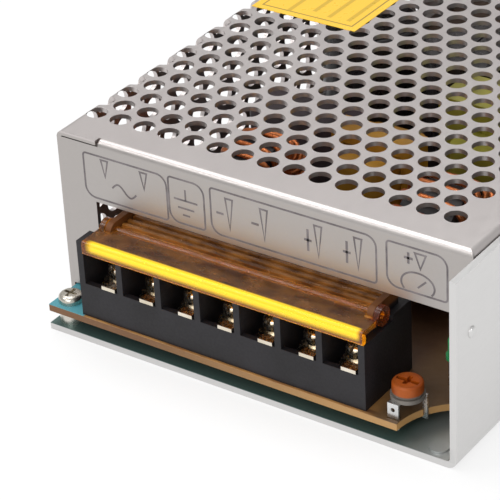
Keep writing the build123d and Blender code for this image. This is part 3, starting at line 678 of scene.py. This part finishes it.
# Label: a coated paper sticker on the top, without words. A thin line runs round it, and plain
# bars fill its right half.
BORDER_OUTER = 1.6 * MM
BORDER_INNER = 2.0 * MM
BORDER_SOFT = 0.05 * MM
BAR_HALF = 0.55 * MM
BAR_SOFT = 0.3 * MM
BARS = ((3.9, 3.6, 62.0), (8.6, 3.2, 58.0), (13.0, 4.2, 66.0), (18.2, 2.0, 87.0))
sticker = finish("yellow_sticker", "f2d43a", 0.3)
texture(sticker, ("ecb92c", "f2c43a"), (0.26, 0.36), scale=700.0, cloud=40.0)
label_lo, label_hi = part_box("label_sticker")
for inset, color in ((BORDER_OUTER, "9a8030"), (BORDER_INNER, "f0be34")):
    overlay(sticker, color,
            ("X", label_lo.x + inset, BORDER_SOFT), ("X", label_hi.x - inset, -BORDER_SOFT),
            ("Y", label_lo.y + inset, BORDER_SOFT), ("Y", label_hi.y - inset, -BORDER_SOFT))
for bar_x, bar_from, bar_to in BARS:
    overlay(sticker, "c9a42a",
            ("X", label_hi.x - bar_x * MM + BAR_HALF, -BAR_SOFT),
            ("X", label_hi.x - bar_x * MM - BAR_HALF, BAR_SOFT),
            ("Y", label_lo.y + bar_from * MM, BAR_SOFT),
            ("Y", label_lo.y + bar_to * MM, -BAR_SOFT))
wear(sticker, "label_sticker")

# The photograph's view: the camera stands to the right in front of the unit and looks down on it.
# Its place, turn and focal length were fitted to the unit's edges and holes in the picture.
EYE = Vector((230.2, -410.7, 266.0)) * MM
LOOK = Vector((-0.5036, 0.6933, -0.5155)).normalized()
UP = Vector((-0.2587, 0.4483, 0.8556))
FRAME_PX = 500
FOCAL_PX = 2381
SENSOR_WIDTH = 36
NEAREST = 0.01
camera_data = bpy.data.cameras.new("camera")
camera_data.sensor_width = SENSOR_WIDTH
camera_data.lens = camera_data.sensor_width * FOCAL_PX / FRAME_PX
camera_data.clip_start = NEAREST
camera = bpy.data.objects.new("camera", camera_data)
right = LOOK.cross(UP).normalized()
upward = right.cross(LOOK)
turned = Matrix((right, upward, -LOOK)).transposed().to_4x4()
camera.matrix_world = Matrix.Translation(EYE) @ turned
bpy.context.scene.collection.objects.link(camera)
bpy.context.scene.camera = camera

# Floor and light: pale paper under an even sky, with soft lamps above, to the left, in front and to
# the right. Seen direct, mirrored or through plastic, the floor shines with a white of its own. The
# sky shows its full white to the camera alone and lights the unit with about half of it.
FLOOR_HALF = 3.0
FLOOR_WHITE = 0.7
SKY_LEVEL = 0.55
AIM = Vector((0, 0, 0.02))
floor_mesh = bpy.data.meshes.new("floor")
floor_corners = [(-FLOOR_HALF, -FLOOR_HALF, 0), (FLOOR_HALF, -FLOOR_HALF, 0),
                 (FLOOR_HALF, FLOOR_HALF, 0), (-FLOOR_HALF, FLOOR_HALF, 0)]
floor_mesh.from_pydata(floor_corners, [], [(0, 1, 2, 3)])
floor = bpy.data.objects.new("floor", floor_mesh)
bpy.context.scene.collection.objects.link(floor)
paper = finish("floor_paper", "f0f0f0", 0.9)
floor_mesh.materials.append(paper)
tree = paper.node_tree
seen = tree.nodes.new("ShaderNodeLightPath").outputs
ray = combined(tree, "MAXIMUM", seen["Is Camera Ray"], seen["Is Transmission Ray"])
ray = combined(tree, "MAXIMUM", ray, seen["Is Glossy Ray"])
white = tree.nodes.new("ShaderNodeEmission")
mixed = tree.nodes.new("ShaderNodeMixShader")
tree.links.new(combined(tree, "MULTIPLY", ray, FLOOR_WHITE), mixed.inputs["Fac"])
tree.links.new(tree.nodes["Principled BSDF"].outputs[0], mixed.inputs[1])
tree.links.new(white.outputs[0], mixed.inputs[2])
tree.links.new(mixed.outputs[0], tree.nodes["Material Output"].inputs["Surface"])

world = bpy.data.worlds.new("studio")
world.use_nodes = True
bpy.context.scene.world = world
sky = world.node_tree.nodes["Background"]
sky.inputs["Color"].default_value = (1.0, 1.0, 1.0, 1.0)
path = world.node_tree.nodes.new("ShaderNodeLightPath")
level = ramp(world.node_tree, path.outputs["Is Camera Ray"], 0.0, 1.0, SKY_LEVEL, 1.0)
world.node_tree.links.new(level, sky.inputs["Strength"])


def lamp(name, place, size, power):
    """A square soft lamp that faces the unit."""
    data = bpy.data.lights.new(name, "AREA")
    data.shape = "SQUARE"
    data.size = size
    data.energy = power
    made = bpy.data.objects.new(name, data)
    made.location = place
    made.rotation_euler = (AIM - Vector(place)).to_track_quat("-Z", "Y").to_euler()
    bpy.context.scene.collection.objects.link(made)


lamp("lamp_top", (-0.25, 0.1, 0.9), 0.7, 5.0)
lamp("lamp_fold", (-0.55, -0.56, 0.74), 0.25, 1.2)
lamp("lamp_front", (0.1, -0.9, 0.5), 0.6, 3.5)
lamp("lamp_right", (0.9, -0.1, 0.4), 0.5, 2.0)
bpy.context.scene.view_settings.view_transform = "Standard"
